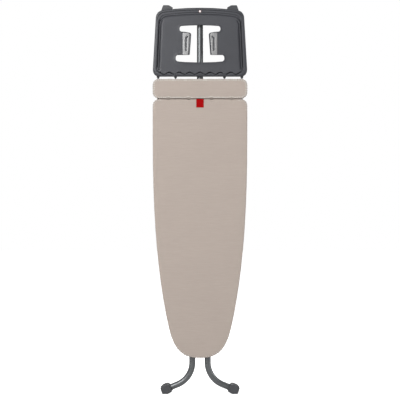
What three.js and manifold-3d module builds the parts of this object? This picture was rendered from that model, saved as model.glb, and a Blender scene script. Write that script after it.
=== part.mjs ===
// A folding ironing board, folded flat and standing on its front feet.
// Millimetres. X runs across the board, Y from the ironing face to the back, Z up to the iron rest.
// The board, its rear leg, its front leg, its height lever and its sliding iron rest are five bodies.

import * as THREE from 'three';
import { mergeVertices } from 'three/addons/utils/BufferGeometryUtils.js';
import Module from 'manifold-3d';

const kernel = await Module();
kernel.setup();

// ---- Clearances ----
const fit = 0.3; // between pieces that touch
const running = 0.6; // round the slide bar in its slots

// ---- Board outline ----
const boardWidth = 380;
const boardTop = 1180; // square end of the main pad
const noseZ = 144; // tip of the nose
const halfBoard = boardWidth / 2;
const squareCorner = 23; // radius of the corners at the square end
const sideStraightTo = boardTop - 160; // the sides are straight above this
const noseTurn = [halfBoard - 65, noseZ + 119]; // where the side turns into the nose
const nosePull = [40, 25, 117]; // the curve's pull: along the tip, then across and down at the turn
const flankPull = [0.65, 190, 340]; // share of the way out, then up from the turn and down from the top

// ---- Layers of the board, front to back ----
const clothThickness = 1.2;
const padThickness = 5.5;
const deckThickness = 0.8;
const rimDepth = 13.4;
const rimWall = 1.5;
const rimFlange = 14;
const memberThickness = 1.5;
const memberWidth = 26;
const labelHalf = 15;
const labelBelow = [-1, 33]; // its upper and lower edges, below the square end
const labelFront = 0.9; // stands this far off the pad

// ---- Ends above the main pad ----
const endGap = 4; // between main pad and end pad
const endPadHeight = 78;
const trayGap = 10; // between end pad and iron rest

// ---- Iron rest tray ----
const trayHeight = 275;
const trayBottomHalf = halfBoard + 0.5; // half-width at its lower corners
const trayTopHalf = trayBottomHalf - 15; // half-width at its shoulders
const trayCorners = [25, 30]; // radii of the lower corners and the shoulders
const trayArch = 13; // rise of the top edge above the shoulders
const trayDepth = 21.5;
const trayWall = 2.8;
const trayBand = 16; // width of the raised edge
const trayRecess = 3.5; // depth of the floor below the raised edge
const waveMiddle = 10.6; // above the tray's lower edge
const waveHeight = 4.5;
const wavePeriod = 41;
const plateThickness = 1.2;
const lipX = [34, 41]; // inner edges of the window, at its top and bottom arms
const lipWidth = 6; // between the window and the heat plates
const windowCorners = [ // out from the middle, below the tray's top, and radius
  [0, 218, 0], [98, 213, 11], [96, 190, 11], [lipX[1], 190, 4],
  [lipX[0], 99, 6], [82, 97, 10], [80, 75.5, 9], [0, 70, 0],
];
const heatPlateOuter = 69;
const heatPlateSpan = [189, 100]; // its ends, below the tray's top
const heatSlot = { x: [53, 58], span: [174, 118] };
const socketHalf = 6.5; // sockets for the carrier wires
const socketDepth = 32;
const badge = { radius: 5, below: 15 };

// ---- Tubes and rods ----
const tubeRadius = 12.5;
const tubeWall = 1.2;
const barRadius = 5; // slide bar and rear axle
const wireRadius = 3;
const tubeBehindBar = barRadius + tubeRadius + 0.5; // from the bars' plane back to the tubes' plane
const pivotSpacer = 6; // between the rear tube and each front tube
const frontTubeX = 2 * tubeRadius + pivotSpacer;
const plugDepth = 12;

// ---- Folding legs ----
const legTopAboveTray = 14; // rear feet show this far above the iron rest
const openAngle = 53; // degrees between each leg and the board when open
const barBelowEnd = 37; // slide bar below the square end when folded
const tubeEndPastBar = 14;
const footBend = { radius: 96, turn: 68, top: 122.5 };
const footReach = 126; // sideways reach of the front tubes
const rearBarRadius = 290;
const rearBarReach = 122;
const capForTube = 12.5; // the tube radius that the cap's corners are given for
const capMiddle = 136; // the caps' places across the board
const capCorners = [ // across from the middle, height above the sole, and radius
  [-24.5, 9.5, 3], [-7, 0, 9], [15.5, 0, 5], [23.5, 23, 4], [13.5, 33, 5], [-2, 39.5, 4], [-12, 39, 3],
];
const capFront = 2; // the front caps reach this far forward, under the board's weight
const capBehindTube = 3.7;
const capRound = { thickness: 3, size: 2 };
const rearCapShift = 3; // the rear caps sit this much closer together
const rearBarBelowTop = 22.4; // ends of the rear foot bar, below the rear feet
const openSoleDepth = 9.5; // the slanted sole takes this much off the caps' back
const boltRadius = 4;
const boltHead = 7.5;

// ---- Rails, guides and lever ----
const leverX = [frontTubeX + tubeRadius + 7.5, frontTubeX + tubeRadius + 10.5];
const leverTooth = 35; // spacing of the height notches
const leverTeeth = 5;
const leverPinRadius = 3;
const leverGripX = [112, 158];
const railX = leverX[1] + 9; // outer face of each rail's web
const railSheet = 2;
const railFlange = 12;
const railBack = 40;
const wireX = [halfBoard - 92, halfBoard - 22];
const wireTravel = 120;
const guideThickness = 12;
const guideSetback = 3.5; // keeps the upper guides clear of the rim's round corners

// ---- Derived places ----
const padFront = clothThickness + fit;
const padBack = padFront + padThickness;
const deckFront = padBack + fit;
const rimFront = deckFront + deckThickness + fit;
const rimBack = rimFront + rimDepth;
const coverBack = rimBack + fit + clothThickness;
const memberFront = rimFront + rimWall + fit;
const memberBack = memberFront + memberThickness;
const railFront = memberBack + fit;
const wireY = railFront + 0.4 + wireRadius;
const barY = railFront + 4.3 + barRadius;
const tubeY = barY + tubeBehindBar;
const capBack = tubeY + tubeRadius + capBehindTube;
const trayFront = 0.5;
const trayBack = trayFront + trayDepth;
const rearCapFront = trayBack + 3.5;
const endBottom = boardTop + endGap;
const endTop = endBottom + endPadHeight;
const trayBottom = endTop + trayGap;
const trayTop = trayBottom + trayHeight;
const legTop = trayTop + legTopAboveTray;
const pivotZ = legTop / 2;
const slideBarZ = boardTop - barBelowEnd;
const arm = slideBarZ - pivotZ;
const axleZ = pivotZ - arm;
const radians = THREE.MathUtils.degToRad;
const swing = radians(openAngle);
const armSlant = Math.atan2(tubeBehindBar, arm);
const slideBarOpenZ = axleZ + 2 * Math.hypot(arm, tubeBehindBar) * Math.cos(swing + armSlant);
const memberZ = [boardTop - 108, pivotZ - 130, axleZ - 80];
const wireTop = trayBottom + socketDepth;
const leverPin = { y: barY + 13, z: pivotZ - 78 };
const leverFront = barY + barRadius + running + 2;
const leverArm = { y: railBack + 4, z: slideBarZ - 33 };

// ---- Materials ----
function material(color, roughness, metalness = 0) {
  return new THREE.MeshStandardMaterial({ color, roughness, metalness });
}

const finish = {
  cloth: material(0xbcaea4, 0.95),
  foam: material(0xd8d4cc, 0.95),
  label: material(0xb3141e, 0.8),
  badge: material(0xe9e6e4, 0.4),
  graphite: material(0x5c6062, 0.4, 0.7),
  deck: material(0x8d9092, 0.5, 0.8),
  steel: material(0xb9b8b3, 0.35, 0.9),
  tray: material(0x626368, 0.6),
  black: material(0x2c2d30, 0.6),
};

// ---- Solids ----
function solid(geometry) {
  const bare = geometry.clone();
  bare.deleteAttribute('normal');
  bare.deleteAttribute('uv');
  const merged = mergeVertices(bare, 1e-4);
  return new kernel.Manifold(new kernel.Mesh({
    numProp: 3,
    vertProperties: merged.attributes.position.array,
    triVerts: Uint32Array.from(merged.index.array),
  }));
}

function geometryOf(body) {
  const mesh = body.getMesh();
  const geometry = new THREE.BufferGeometry();
  geometry.setAttribute('position', new THREE.BufferAttribute(mesh.vertProperties, 3));
  geometry.setIndex(new THREE.BufferAttribute(mesh.triVerts, 1));
  geometry.computeVertexNormals();
  return geometry;
}

function join(...shapes) {
  return geometryOf(shapes.map(solid).reduce((all, one) => all.add(one)));
}

function cut(shape, ...tools) {
  return geometryOf(tools.map(solid).reduce((left, tool) => left.subtract(tool), solid(shape)));
}

function block([x0, x1], [y0, y1], [z0, z1]) {
  const box = new THREE.BoxGeometry(x1 - x0, y1 - y0, z1 - z0);
  return box.translate((x0 + x1) / 2, (y0 + y1) / 2, (z0 + z1) / 2);
}

// A rod across the board, from x0 to x1.
function rodX(radius, [x0, x1], y, z, sides = 16) {
  const rod = new THREE.CylinderGeometry(radius, radius, x1 - x0, sides);
  return rod.rotateZ(Math.PI / 2).translate((x0 + x1) / 2, y, z);
}

// A rod up the board, from z0 to z1.
function rodZ(radius, x, y, [z0, z1], sides = 12) {
  const rod = new THREE.CylinderGeometry(radius, radius, z1 - z0, sides);
  return rod.rotateX(Math.PI / 2).translate(x, y, (z0 + z1) / 2);
}

// A disc or bush facing front to back.
function rodY(radius, x, [y0, y1], z, sides = 16) {
  return new THREE.CylinderGeometry(radius, radius, y1 - y0, sides).translate(x, (y0 + y1) / 2, z);
}

// A turned piece on an axis across the board; profile is [radius, x] pairs that close on themselves.
function turnedX(profile, y, z, sides = 20) {
  const points = profile.map(([radius, x]) => new THREE.Vector2(radius, x));
  const lathe = new THREE.LatheGeometry([...points, points[0]], sides);
  return lathe.rotateZ(-Math.PI / 2).translate(0, y, z);
}

// ---- Outlines in the XZ plane, anticlockwise seen from the front ----
function rounded(corners, arcSteps = 4) {
  const at = (i) => new THREE.Vector2(...corners.at(i % corners.length));
  return corners.flatMap(([x, z, radius], i) => {
    const corner = new THREE.Vector2(x, z);
    if (!radius) return [corner];
    const back = at(i - 1).sub(corner).normalize();
    const on = at(i + 1).sub(corner).normalize();
    const half = Math.acos(back.dot(on)) / 2;
    const centre = back.clone().add(on).setLength(radius / Math.sin(half)).add(corner);
    const start = back.setLength(radius / Math.tan(half)).add(corner).sub(centre);
    const end = on.setLength(radius / Math.tan(half)).add(corner).sub(centre);
    const turn = Math.atan2(start.cross(end), start.dot(end));
    return Array.from({ length: arcSteps + 1 }, (_, k) =>
      start.clone().rotateAround(new THREE.Vector2(), (turn * k) / arcSteps).add(centre));
  });
}

function inset(points, distance) {
  return points.map((point, i) => {
    const before = points.at(i - 1);
    const after = points[(i + 1) % points.length];
    const inward = (a, b) => new THREE.Vector2(a.y - b.y, b.x - a.x).normalize();
    const n1 = inward(before, point);
    const mitre = n1.clone().add(inward(point, after)).normalize();
    return point.clone().addScaledVector(mitre, distance / mitre.dot(n1));
  });
}

// Extrudes an outline from y0 back to y1, with any holes going right through.
function plate(outline, [y0, y1], holes = []) {
  const shape = new THREE.Shape(outline);
  shape.holes = holes.map((hole) => new THREE.Path(hole));
  const geometry = new THREE.ExtrudeGeometry(shape, { depth: y1 - y0, bevelEnabled: false });
  return geometry.rotateX(Math.PI / 2).translate(0, y1, 0);
}

function mirrored(points) {
  return points.map((p) => new THREE.Vector2(-p.x, p.y)).reverse();
}

function boardOutline() {
  const point = (x, z) => new THREE.Vector2(x, z);
  const turn = point(...noseTurn);
  const side = halfBoard - noseTurn[0];
  const [tipPull, turnAcross, turnDown] = nosePull;
  const nose = new THREE.CubicBezierCurve(
    point(0, noseZ), point(tipPull, noseZ), turn.clone().sub(point(turnAcross, turnDown)), turn);
  const [out, up, down] = flankPull;
  const flank = new THREE.CubicBezierCurve(
    turn, turn.clone().add(point(side * out, up)),
    point(halfBoard, sideStraightTo - down), point(halfBoard, sideStraightTo));
  const corner = rounded([
    [halfBoard, sideStraightTo, 0], [halfBoard, boardTop, squareCorner], [0, boardTop, 0]]);
  const right = [...nose.getPoints(9), ...flank.getPoints(10).slice(1), ...corner.slice(1, -1)];
  return [...right, ...mirrored(right.slice(1))];
}

function endOutline() {
  const corner = (x, z) => [x, z, squareCorner];
  return rounded([corner(halfBoard, endBottom), corner(halfBoard, endTop),
    corner(-halfBoard, endTop), corner(-halfBoard, endBottom)]);
}

function trayOutline() {
  const shoulder = trayTop - trayArch;
  const [lower, upper] = trayCorners;
  const arch = [110, 55, 0, -55, -110].map((x) => [x, trayTop - trayArch * (x / trayTopHalf) ** 2, 0]);
  return rounded([[trayBottomHalf, trayBottom, lower], [trayTopHalf, shoulder, upper], ...arch,
    [-trayTopHalf, shoulder, upper], [-trayBottomHalf, trayBottom, lower]]);
}

function halfWidthAt(outline, z) {
  const spans = outline.map((a, i) => [a, outline[(i + 1) % outline.length]]);
  const crossing = spans.filter(([a, b]) => a.x > 0 && (a.y - z) * (b.y - z) <= 0 && a.y !== b.y);
  return Math.max(...crossing.map(([a, b]) => a.x + ((b.x - a.x) * (z - a.y)) / (b.y - a.y)));
}

// ---- Tubes along a path of straight runs and bends ----
class TubePath extends THREE.Curve {
  constructor(stations) {
    super();
    this.stations = stations;
  }

  nearest(u) {
    return this.stations[Math.round(u * (this.stations.length - 1))];
  }

  getPoint(u) {
    return this.nearest(u).point.clone();
  }

  getTangentAt(u) {
    return this.nearest(u).heading.clone().normalize();
  }

  getSpacedPoints() {
    return this.stations.map((station) => station.point.clone());
  }
}

function circle(radius, sides) {
  return Array.from({ length: sides }, (_, i) =>
    new THREE.Vector2(radius, 0).rotateAround(new THREE.Vector2(), (2 * Math.PI * i) / sides));
}

function tube(stations, radius, wall, sides = 12) {
  const section = new THREE.Shape(circle(radius, sides));
  if (wall) section.holes = [new THREE.Path(circle(radius - wall, sides))];
  const settings = { steps: stations.length - 1, extrudePath: new TubePath(stations), curveSegments: sides };
  return new THREE.ExtrudeGeometry(section, settings);
}

function station(x, y, z, hx, hy, hz) {
  return { point: new THREE.Vector3(x, y, z), heading: new THREE.Vector3(hx, hy, hz) };
}

// Stations round a bend in the XZ plane. Angles are measured from +X towards +Z.
function bend([cx, cz], y, radius, from, to, steps) {
  return Array.from({ length: steps + 1 }, (_, k) => {
    const angle = from + ((to - from) * k) / steps;
    const side = Math.sign(to - from);
    const [c, s] = [Math.cos(angle), Math.sin(angle)];
    return station(cx + radius * c, y, cz + radius * s, -s * side, 0, c * side);
  });
}

// ---- Assembly helpers ----
const ironingBoard = new THREE.Group();

function add(name, geometry, look) {
  const mesh = new THREE.Mesh(geometry, look);
  mesh.name = name;
  ironingBoard.add(mesh);
}

// Adds a left and a right copy of a piece that is modelled on the right.
function addPair(name, geometry, look) {
  add(`${name}_right`, geometry, look);
  const body = solid(geometry).mirror([1, 0, 0]);
  add(`${name}_left`, geometryOf(body), look);
}

// ---- Board ----
// A fitted cloth skin: a front, a skirt round the edge and a narrow hem behind the rim.
function skin(outline, back, hem, passages = []) {
  const inside = inset(outline, clothThickness);
  return cut(plate(outline, [0, back]),
    plate(inside, [clothThickness, back - clothThickness]),
    plate(inset(outline, hem), [back - 2 * clothThickness, back + 1]),
    ...passages);
}

// Steam slots through the deck, three to a row.
function deckSlots(outline) {
  const [pitch, height, bridge, edge] = [36, 20, 14, 22];
  const slots = [];
  for (let z = noseZ + 2 * edge; z < boardTop - 2 * edge; z += pitch) {
    const half = Math.min(halfWidthAt(outline, z), halfWidthAt(outline, z + height)) - edge;
    const width = (2 * half - 2 * bridge) / 3;
    for (let k = 0; k < 3; k += 1) {
      const x = -half + k * (width + bridge);
      slots.push(block([x, x + width], [deckFront - 1, deckFront + 2], [z, z + height]));
    }
  }
  return slots;
}

function wirePassages(radius, span) {
  return wireX.flatMap((x) => [rodZ(radius, x, wireY, span), rodZ(radius, -x, wireY, span)]);
}

function addBoard() {
  const outline = boardOutline();
  const hem = clothThickness + fit + rimFlange;
  const endSpan = [boardTop - rimFlange - clothThickness, boardTop + 1];
  add('cover_main', skin(outline, coverBack, hem, wirePassages(wireRadius + 1.2, endSpan)), finish.cloth);
  add('pad_main', plate(inset(outline, padFront), [padFront, padBack]), finish.foam);
  const deck = inset(outline, padFront);
  const deckPlate = plate(deck, [deckFront, deckFront + deckThickness]);
  add('deck_mesh', cut(deckPlate, ...deckSlots(deck)), finish.deck);

  const rimOuter = inset(outline, padFront);
  const rimInner = inset(rimOuter, rimFlange);
  const channel = [rimFront + rimWall, rimBack - rimWall];
  add('board_rim', cut(plate(rimOuter, [rimFront, rimBack], [rimInner]),
    plate(inset(rimOuter, rimWall), channel),
    ...wirePassages(wireRadius + running, endSpan)), finish.graphite);

  const channelWall = inset(rimOuter, rimWall + fit);
  memberZ.forEach((z, i) => {
    const reach = halfWidthAt(channelWall, z - memberWidth / 2) - fit;
    const span = [z - memberWidth / 2, z + memberWidth / 2];
    add(`cross_member_${i + 1}`, block([-reach, reach], [memberFront, memberBack], span), finish.graphite);
  });

  const labelSpan = [boardTop - labelBelow[1], boardTop - labelBelow[0]];
  add('cover_label', block([-labelHalf, labelHalf], [-labelFront, -fit], labelSpan), finish.label);
}

// ---- Rails that carry the legs ----
function addRails() {
  const [inner, outer] = [railX - railSheet, railX];
  const railSpan = [axleZ - 28, slideBarZ + 17];
  const section = join(
    block([inner, outer], [railFront, railBack], railSpan),
    block([inner, outer + railFlange], [railFront, railFront + railSheet], railSpan));
  const through = [inner - 5, outer + 5];
  const slotHalf = barRadius + running;
  const slot = [
    block(through, [barY - slotHalf, barY + slotHalf], [slideBarOpenZ, slideBarZ]),
    rodX(slotHalf, through, barY, slideBarOpenZ),
    rodX(slotHalf, through, barY, slideBarZ),
  ];
  const notches = Array.from({ length: leverTeeth }, (_, i) =>
    rodX(4, through, barY + slotHalf, slideBarOpenZ + 20 + i * leverTooth, 8));
  const bushHole = rodX(barRadius + 2, through, barY, axleZ);
  const pinHole = rodX(leverPinRadius + fit, through, leverPin.y, leverPin.z);
  addPair('rail', cut(section, ...slot, ...notches, bushHole, pinHole), finish.graphite);

  const flangeX = inner - fit;
  addPair('axle_bush', turnedX([
    [barRadius + fit, flangeX - 1.5], [barRadius + fit, outer + fit],
    [barRadius + 2 - fit, outer + fit], [barRadius + 2 - fit, flangeX], [9, flangeX], [9, flangeX - 1.5],
  ].reverse(), barY, axleZ), finish.black);
}

// ---- Guides for the sliding iron rest ----
function addGuides() {
  const guideX = [wireX[0] - 10, wireX[1] + 5.5];
  const channelTop = boardTop - padFront - rimWall - guideSetback;
  const spans = {
    upper: [channelTop - guideThickness, channelTop],
    lower: [memberZ[0] - guideThickness / 2, memberZ[0] + guideThickness / 2],
  };
  const depth = {
    upper: [memberFront, rimBack - rimWall - fit],
    lower: [railFront, wireY + wireRadius + 2.5],
  };
  for (const place of ['upper', 'lower']) {
    const through = [spans[place][0] - 1, spans[place][1] + 1];
    const bores = wireX.map((x) => rodZ(wireRadius + fit, x, wireY, through));
    addPair(`wire_guide_${place}`, cut(block(guideX, depth[place], spans[place]), ...bores), finish.black);
  }
}

// ---- Feet ----
// Cap outline on the right, with the sole on z = 0 and the tube coming in from the upper left.
function capOutline() {
  const scale = tubeRadius / capForTube;
  return rounded(capCorners.map(([x, z, radius]) => [capMiddle + x * scale, z * scale, radius]), 3);
}

function cap(outline, [front, back], bore, openSole) {
  const geometry = new THREE.ExtrudeGeometry(new THREE.Shape(inset(outline, capRound.size)), {
    depth: back - front - 2 * capRound.thickness,
    bevelThickness: capRound.thickness, bevelSize: capRound.size, bevelSegments: 2,
  });
  return cut(geometry.rotateX(Math.PI / 2).translate(0, back - capRound.thickness, 0), bore, openSole);
}

// A block whose near face is the floor as the open leg meets it.
function openFloor(soleZ, up) {
  const depth = 60;
  const floor = block([80, 200], [0, depth], [-depth, depth]);
  floor.rotateX(up * swing);
  return floor.translate(0, capBack - openSoleDepth, soleZ);
}

// ---- Front leg: twin tubes ----
function addFrontLeg() {
  const start = slideBarZ + tubeEndPastBar;
  const { radius, turn, top } = footBend;
  const curve = bend([frontTubeX + radius, top], tubeY, radius, Math.PI, Math.PI + radians(turn), 7);
  const last = curve.at(-1);
  const run = (footReach - last.point.x) / last.heading.x;
  const tip = { point: last.point.clone().addScaledVector(last.heading, run), heading: last.heading };
  const stations = [station(frontTubeX, tubeY, start, 0, 0, -1), ...curve, tip];
  const boltHole = rodX(boltRadius + fit, [frontTubeX - 20, frontTubeX + 20], tubeY, pivotZ);
  addPair('front_leg_tube', cut(tube(stations, tubeRadius, tubeWall), boltHole), finish.graphite);
  addPair('front_leg_plug', plug(frontTubeX, start, 1), finish.black);

  const boreStart = { point: last.point, heading: last.heading };
  const boreEnd = { point: tip.point.clone().addScaledVector(last.heading, fit), heading: last.heading };
  const bore = tube([boreStart, boreEnd], tubeRadius + fit, 0);
  addPair('front_foot_cap', cap(capOutline(), [capFront, capBack], bore, openFloor(0, -1)), finish.black);

  const reach = railX + 5;
  const saddles = [-frontTubeX, frontTubeX].map((x) => saddle(x, slideBarZ));
  const tubeClear = [-frontTubeX, frontTubeX].map((x) =>
    rodZ(tubeRadius + fit, x, tubeY, [slideBarZ - 30, slideBarZ + 30], 16));
  add('slide_bar', cut(join(rodX(barRadius, [-reach, reach], barY, slideBarZ), ...saddles), ...tubeClear),
    finish.steel);
  addPair('slide_bush', turnedX([
    [barRadius + fit, railX + fit], [barRadius + fit, reach - 0.5],
    [barRadius + 1.8, reach - 0.5], [barRadius + 1.8, railX + fit],
  ].reverse(), barY, slideBarZ), finish.black);
}

// A small cradle that welds a cross bar to a tube.
function saddle(x, z) {
  return block([x - 8, x + 8], [barY, tubeY - tubeRadius + 2.5], [z - 9, z + 9]);
}

// An end plug: a disc on the tube's end and a stem inside it.
function plug(x, z, up) {
  const stem = z - up * plugDepth;
  return join(
    rodZ(tubeRadius, x, tubeY, [z + fit * up, z + (fit + 2) * up].sort((a, b) => a - b), 16),
    rodZ(tubeRadius - tubeWall - 2 * fit, x, tubeY, [stem, z + up].sort((a, b) => a - b), 16));
}

// ---- Rear leg: one tube and a curved foot bar ----
function addRearLeg() {
  // The rear cap is the front cap turned upside down.
  const rearCap = capOutline().map((p) => new THREE.Vector2(p.x - rearCapShift, legTop - p.y)).reverse();
  const barEnd = new THREE.Vector2(rearBarReach, legTop - rearBarBelowTop);
  const endTurn = Math.asin(rearBarReach / rearBarRadius);
  const centre = [0, barEnd.y + rearBarRadius * Math.cos(endTurn)];
  const down = -Math.PI / 2;
  const stations = bend(centre, tubeY, rearBarRadius, down - endTurn, down + endTurn, 8);
  add('rear_foot_bar', tube(stations, tubeRadius, tubeWall), finish.graphite);

  const end = stations.at(-1);
  const boreFrom = { point: end.point.clone().addScaledVector(end.heading, -40), heading: end.heading };
  const boreTo = { point: end.point.clone().addScaledVector(end.heading, fit), heading: end.heading };
  const bore = tube([boreFrom, boreTo], tubeRadius + fit, 0);
  const curved = tube(stations, tubeRadius + fit, 0);
  const open = cap(rearCap, [rearCapFront, capBack], bore, openFloor(legTop, 1));
  addPair('rear_foot_cap', cut(open, curved), finish.black);

  const barZ = centre[1] - rearBarRadius;
  const bottom = axleZ - tubeEndPastBar;
  const uprightPath = [station(0, tubeY, bottom, 0, 0, 1), station(0, tubeY, barZ, 0, 0, 1)];
  const upright = tube(uprightPath, tubeRadius, tubeWall);
  const boltHole = rodX(boltRadius + fit, [-20, 20], tubeY, pivotZ);
  add('rear_leg_tube', cut(upright, curved, boltHole), finish.graphite);
  add('rear_leg_plug', plug(0, bottom, -1), finish.black);

  const reach = railX + 4;
  const tubeClear = rodZ(tubeRadius + fit, 0, tubeY, [axleZ - 30, axleZ + 30], 16);
  add('rear_axle', cut(join(rodX(barRadius, [-reach, reach], barY, axleZ), saddle(0, axleZ)), tubeClear),
    finish.steel);
}

// ---- Scissor pivot ----
function addPivot() {
  const outside = frontTubeX + tubeRadius + fit;
  add('pivot_bolt', join(
    rodX(boltRadius, [-outside - 1, outside + 5], tubeY, pivotZ, 12),
    rodX(boltHead, [-outside - 4.5, -outside], tubeY, pivotZ, 6)), finish.steel);
  add('pivot_nut', cut(
    rodX(boltHead, [outside, outside + 4], tubeY, pivotZ, 6),
    rodX(boltRadius + fit, [outside - 1, outside + 5], tubeY, pivotZ)), finish.steel);
  const gap = [tubeRadius + fit, frontTubeX - tubeRadius - fit];
  addPair('pivot_spacer', turnedX([[boltRadius + fit, gap[0]], [boltRadius + fit, gap[1]],
    [8, gap[1]], [8, gap[0]]].reverse(), tubeY, pivotZ), finish.black);
}

// ---- Height lever ----
function addLever() {
  const strip = block(leverX, [leverFront, leverFront + 9], [leverPin.z - 9, slideBarZ + 8]);
  const tab = block(leverX, [leverFront, leverArm.y + 6], [leverArm.z - 8, leverArm.z + 8]);
  const teeth = Array.from({ length: leverTeeth + 1 }, (_, i) => {
    const z = slideBarOpenZ + 20 + (i - 0.5) * leverTooth;
    return block(leverX, [leverFront - 2, leverFront + 1], [z - 8, z + 8]);
  });
  const across = [leverX[0] - 5, leverX[1] + 5];
  add('lever_bar', cut(join(strip, tab, ...teeth),
    rodX(leverPinRadius + fit, across, leverPin.y, leverPin.z),
    rodX(leverPinRadius + fit, across, leverArm.y, leverArm.z)), finish.steel);

  const gripX = leverGripX;
  add('lever_arm', rodX(leverPinRadius, [leverX[0] - 3, gripX[1] - 6], leverArm.y, leverArm.z, 12),
    finish.steel);
  add('lever_grip', cut(
    turnedX([[0, gripX[0]], [0, gripX[1]], [5, gripX[1]], [8, gripX[1] - 4], [7, gripX[1] - 22],
      [8, gripX[0] + 3], [6, gripX[0]]].reverse(), leverArm.y, leverArm.z),
    rodX(leverPinRadius + fit, [gripX[0] - 1, gripX[1] - 6 + fit], leverArm.y, leverArm.z, 12)),
  finish.black);

  add('lever_pin', join(
    rodX(leverPinRadius, [leverX[0] - 3, railX + 1], leverPin.y, leverPin.z, 12),
    rodX(5, [railX + fit, railX + 2], leverPin.y, leverPin.z, 12)), finish.steel);
  const [turns, perTurn, coilRadius] = [3, 10, 4.6];
  const rise = (railX - railSheet - leverX[1] - 2.6) / (turns * perTurn);
  const coil = Array.from({ length: turns * perTurn + 1 }, (_, k) => {
    const angle = (2 * Math.PI * k) / perTurn;
    const [c, s] = [coilRadius * Math.cos(angle), coilRadius * Math.sin(angle)];
    return station(leverX[1] + 1.3 + rise * k, leverPin.y + c, leverPin.z + s,
      (rise * perTurn) / (2 * Math.PI), -s, c);
  });
  add('lever_spring', tube(coil, 0.7, 0, 5), finish.steel);
}

// ---- Sliding iron rest ----
// The inside of the raised edge: a plain line but for the wave along the bottom.
function waveOutline(outline) {
  const straight = inset(outline, trayBand);
  const low = trayBottom + waveMiddle;
  const clear = low + trayBand;
  const reach = halfWidthAt(straight, clear) - 2;
  const upper = straight.filter((p) => p.y > clear);
  const steps = 54;
  const wave = Array.from({ length: steps + 1 }, (_, k) => {
    const x = -reach + (2 * reach * k) / steps;
    return new THREE.Vector2(x, low + waveHeight * Math.cos((2 * Math.PI * x) / wavePeriod));
  });
  return [...upper, ...wave];
}

// The opening through the tray: a tall window with an arm to each side at its top and bottom.
function trayWindow() {
  const corner = ([x, below, radius]) => [x, trayTop - below, radius];
  const right = rounded(windowCorners.map(corner), 3);
  return [...right, ...mirrored(right.slice(1, -1))];
}

function addTray() {
  const outline = trayOutline();
  const floorFront = trayFront + trayRecess;
  const floor = plate(outline, [floorFront, floorFront + trayWall], [trayWindow()]);
  const band = plate(outline, [trayFront, floorFront + 1], [waveOutline(outline)]);
  const skirt = plate(outline, [floorFront + 1, trayBack], [inset(outline, trayWall)]);
  const sockets = wireX.flatMap((x) => [x, -x]).map((x) =>
    block([x - socketHalf, x + socketHalf], [floorFront + 1, trayBack - 1], [trayBottom + 1, wireTop + 4]));
  const bores = wirePassages(wireRadius + fit, [trayBottom - 5, wireTop + fit]);
  const badgeZ = trayTop - badge.below;
  const badgeSeat = rodY(badge.radius + fit, 0, [-1, 2.4], badgeZ, 20);
  add('iron_tray', cut(join(floor, band, skirt, ...sockets), ...bores, badgeSeat), finish.tray);
  add('tray_badge', rodY(badge.radius, 0, [0.2, 2.1], badgeZ, 20), finish.badge);

  const inner = [lipX[0] + lipWidth, lipX[1] + lipWidth];
  const [low, high] = heatPlateSpan.map((below) => trayTop - below);
  const plateOutline = rounded([
    [inner[1], low, 2], [heatPlateOuter, low, 1], [heatPlateOuter, high, 1], [inner[0], high, 5]], 3);
  const [slotLow, slotHigh] = heatSlot.span.map((below) => trayTop - below);
  const [slotIn, slotOut] = heatSlot.x;
  const slot = rounded([
    [slotIn, slotLow, 2], [slotOut, slotLow, 2], [slotOut, slotHigh, 2], [slotIn, slotHigh, 2]], 2);
  const heatPlate = plate(plateOutline, [floorFront - fit - plateThickness, floorFront - fit], [slot]);
  addPair('heat_plate', heatPlate, finish.steel);
}

function addCarrier() {
  const middle = (wireX[0] + wireX[1]) / 2;
  const radius = (wireX[1] - wireX[0]) / 2;
  const bendZ = memberZ[0] - guideThickness / 2 - wireTravel - 5;
  const stations = [
    station(wireX[0], wireY, wireTop, 0, 0, -1),
    ...bend([middle, bendZ], wireY, radius, Math.PI, 2 * Math.PI, 10),
    station(wireX[1], wireY, wireTop, 0, 0, 1),
  ];
  addPair('carrier_wire', tube(stations, wireRadius, 0, 10), finish.graphite);

  const outline = endOutline();
  const panelFront = padBack + fit;
  const panelBack = panelFront + deckThickness;
  const skinBack = panelBack + fit + clothThickness;
  add('cover_end', skin(outline, skinBack, 14), finish.cloth);
  add('pad_end', plate(inset(outline, padFront), [padFront, padBack]), finish.foam);
  add('panel_end', plate(inset(outline, padFront), [panelFront, panelBack]), finish.deck);
  const clampX = [wireX[0] - 9, wireX[1] + 7];
  const middleZ = (endBottom + endTop) / 2;
  const clampZ = [middleZ - 10, middleZ + 10];
  const bores = wireX.map((x) => rodZ(wireRadius + fit, x, wireY, [clampZ[0] - 1, clampZ[1] + 1]));
  addPair('wire_clamp', cut(block(clampX, [panelBack + fit, wireY + wireRadius + 2], clampZ), ...bores),
    finish.black);
}

addBoard();
addRails();
addGuides();
addFrontLeg();
addRearLeg();
addPivot();
addLever();
addTray();
addCarrier();

// The origin is under the middle of the folded board's box, on the floor it stands on.
const box = new THREE.Box3().setFromObject(ironingBoard);
ironingBoard.position.set(0, -(box.min.y + box.max.y) / 2, -box.min.z);

export default ironingBoard;
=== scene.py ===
"""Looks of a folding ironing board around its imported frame.

Metres; -Y is the ironing side, +Z the iron rest.
"""

import math

import bmesh
import bpy
import numpy as np
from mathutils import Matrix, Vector, geometry, kdtree, noise


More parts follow.
